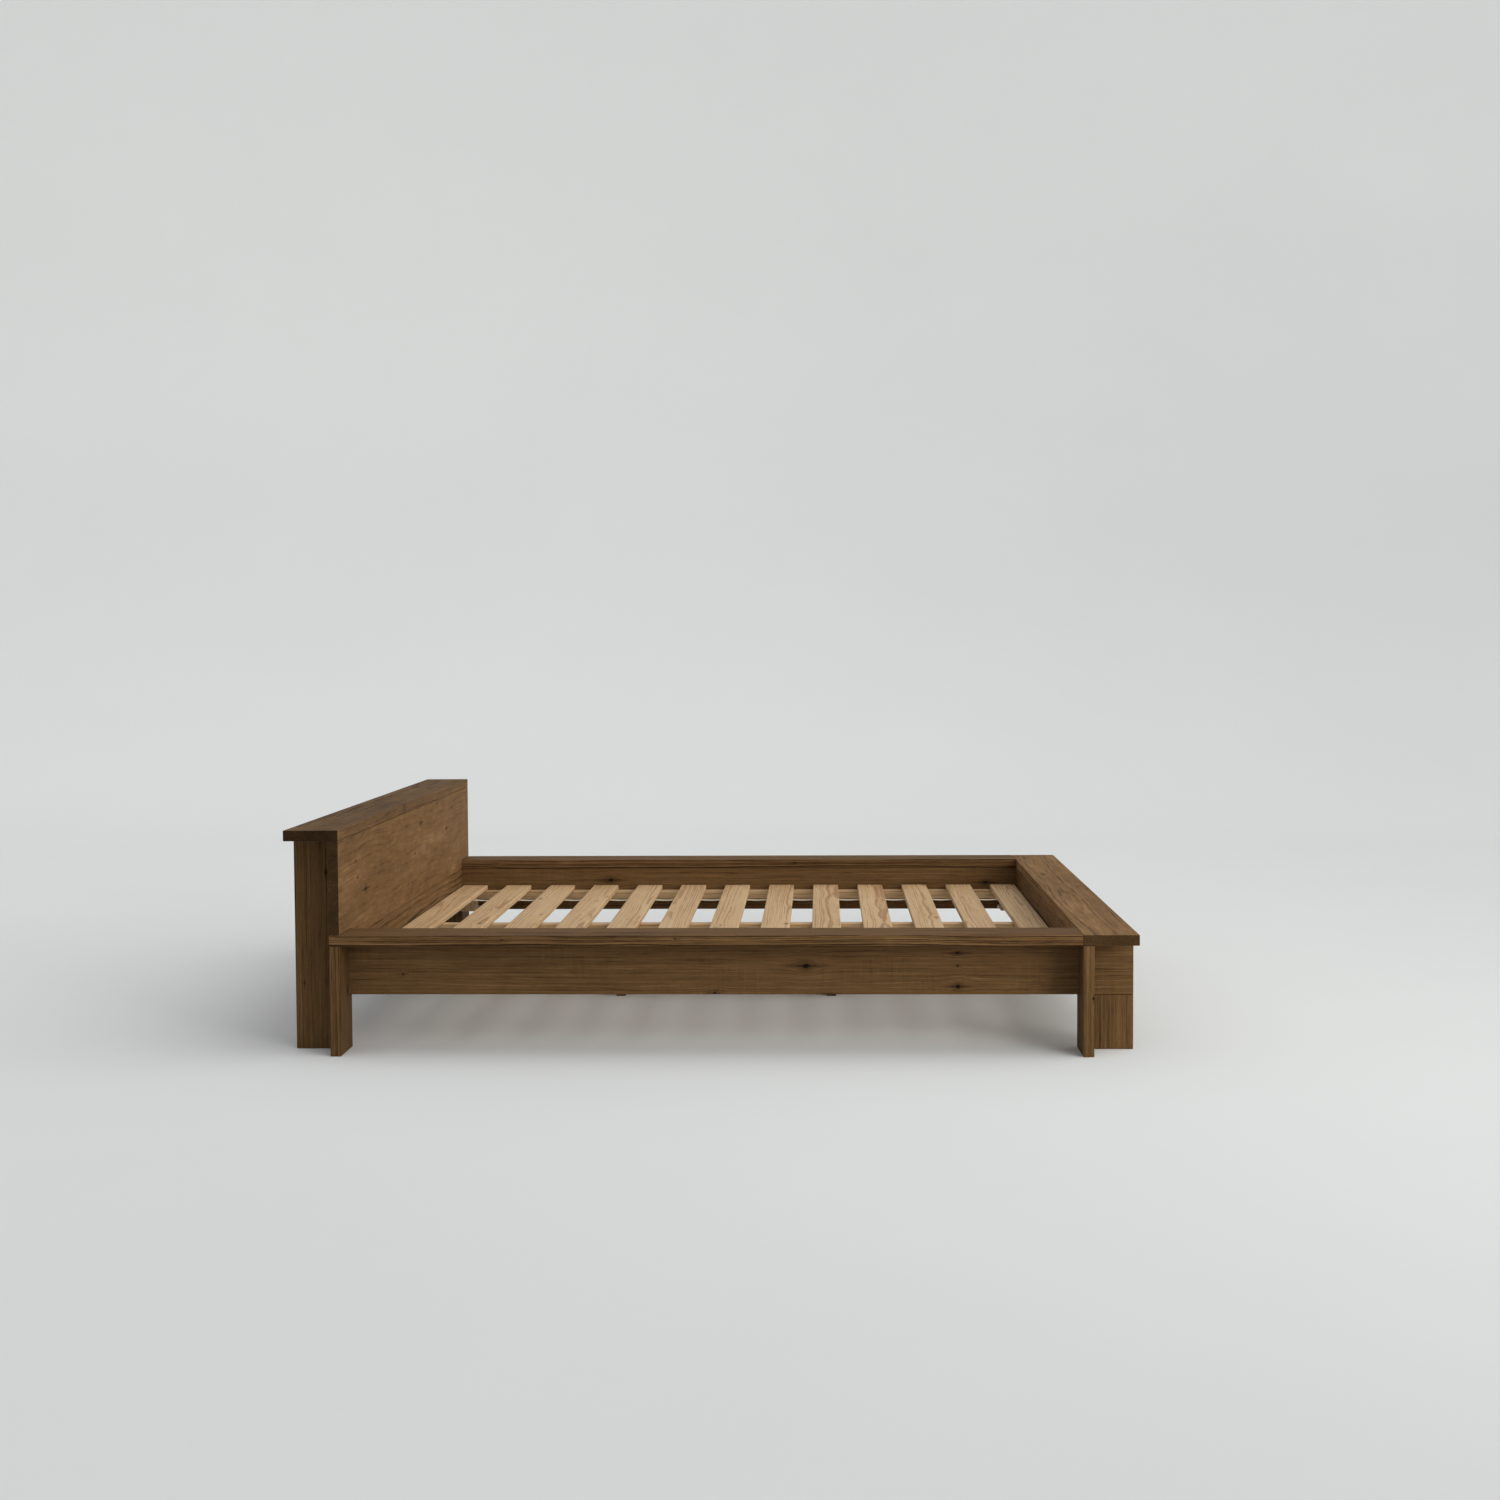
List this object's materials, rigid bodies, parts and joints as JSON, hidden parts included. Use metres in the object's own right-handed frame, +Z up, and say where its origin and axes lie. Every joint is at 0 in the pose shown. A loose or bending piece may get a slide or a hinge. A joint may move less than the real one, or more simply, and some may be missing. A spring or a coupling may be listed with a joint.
{
  "type": "bed frame",
  "caption": "Low platform bed frame with a boxed headboard, wide flat side and foot ledges, fin legs set square to the rails, and a lift-out slat deck.",
  "frame": {"origin": "on the floor under the middle of the frame's overall length and width", "axes": "+X from the headboard to the foot, +Y towards the sleeper's left side when lying on the back, +Z up"},
  "size_m": [2.3, 2.1, 0.615],
  "materials": {
    "stained_oak": "brown-stained solid oak, open grain with small dark knots, matte oil",
    "pine": "planed untreated softwood",
    "cotton_webbing": "woven undyed cotton webbing",
    "zinc_steel": "zinc-plated steel",
    "insert_brass": "turned brass",
    "beech": "fluted beech dowel, left raw"
  },
  "bodies": {
    "frame": {"headboard_cap": "stained_oak", "headboard_front_panel": "stained_oak", "headboard_back_panel": "stained_oak", "head_back_rail": "stained_oak", "head_cross_rail": "stained_oak", "head_end_board_left": "stained_oak", "head_end_board_right": "stained_oak", "headboard_rib_left": "stained_oak", "headboard_rib_centre": "stained_oak", "headboard_rib_right": "stained_oak", "side_rail_left": "stained_oak", "side_rail_right": "stained_oak", "side_ledge_left": "stained_oak", "side_ledge_right": "stained_oak", "fin_leg_head_left": "stained_oak", "fin_leg_head_right": "stained_oak", "fin_leg_foot_left": "stained_oak", "fin_leg_foot_right": "stained_oak", "slat_cleat_left": "pine", "slat_cleat_right": "pine", "foot_cap": "stained_oak", "foot_end_board_left": "stained_oak", "foot_end_board_right": "stained_oak", "foot_outer_rail": "stained_oak", "foot_inner_rail": "stained_oak", "foot_rib_left": "stained_oak", "foot_rib_right": "stained_oak", "centre_beam": "pine", "centre_leg_head": "stained_oak", "centre_leg_foot": "stained_oak", "centre_stretcher": "stained_oak", "beam_hanger_head": "pine", "beam_hanger_foot": "pine", "corner_block_head_left": "pine", "corner_block_head_right": "pine", "corner_block_foot_left": "pine", "corner_block_foot_right": "pine", "corner_bolts": "zinc_steel", "corner_washers": "zinc_steel", "threaded_inserts": "insert_brass", "wood_dowels": "beech", "wood_screws": "zinc_steel"},
    "slat_deck": {"slat_01": "pine", "slat_02": "pine", "slat_03": "pine", "slat_04": "pine", "slat_05": "pine", "slat_06": "pine", "slat_07": "pine", "slat_08": "pine", "slat_09": "pine", "slat_10": "pine", "slat_11": "pine", "slat_12": "pine", "slat_13": "pine", "slat_strap_left": "cotton_webbing", "slat_strap_right": "cotton_webbing", "strap_staples": "zinc_steel"}
  },
  "joints": [
    {"name": "slat_deck_lift", "type": "slide", "parent": "frame", "child": "slat_deck", "axis": [0, 0, 1], "range_m": [0, 0.25]}
  ]
}
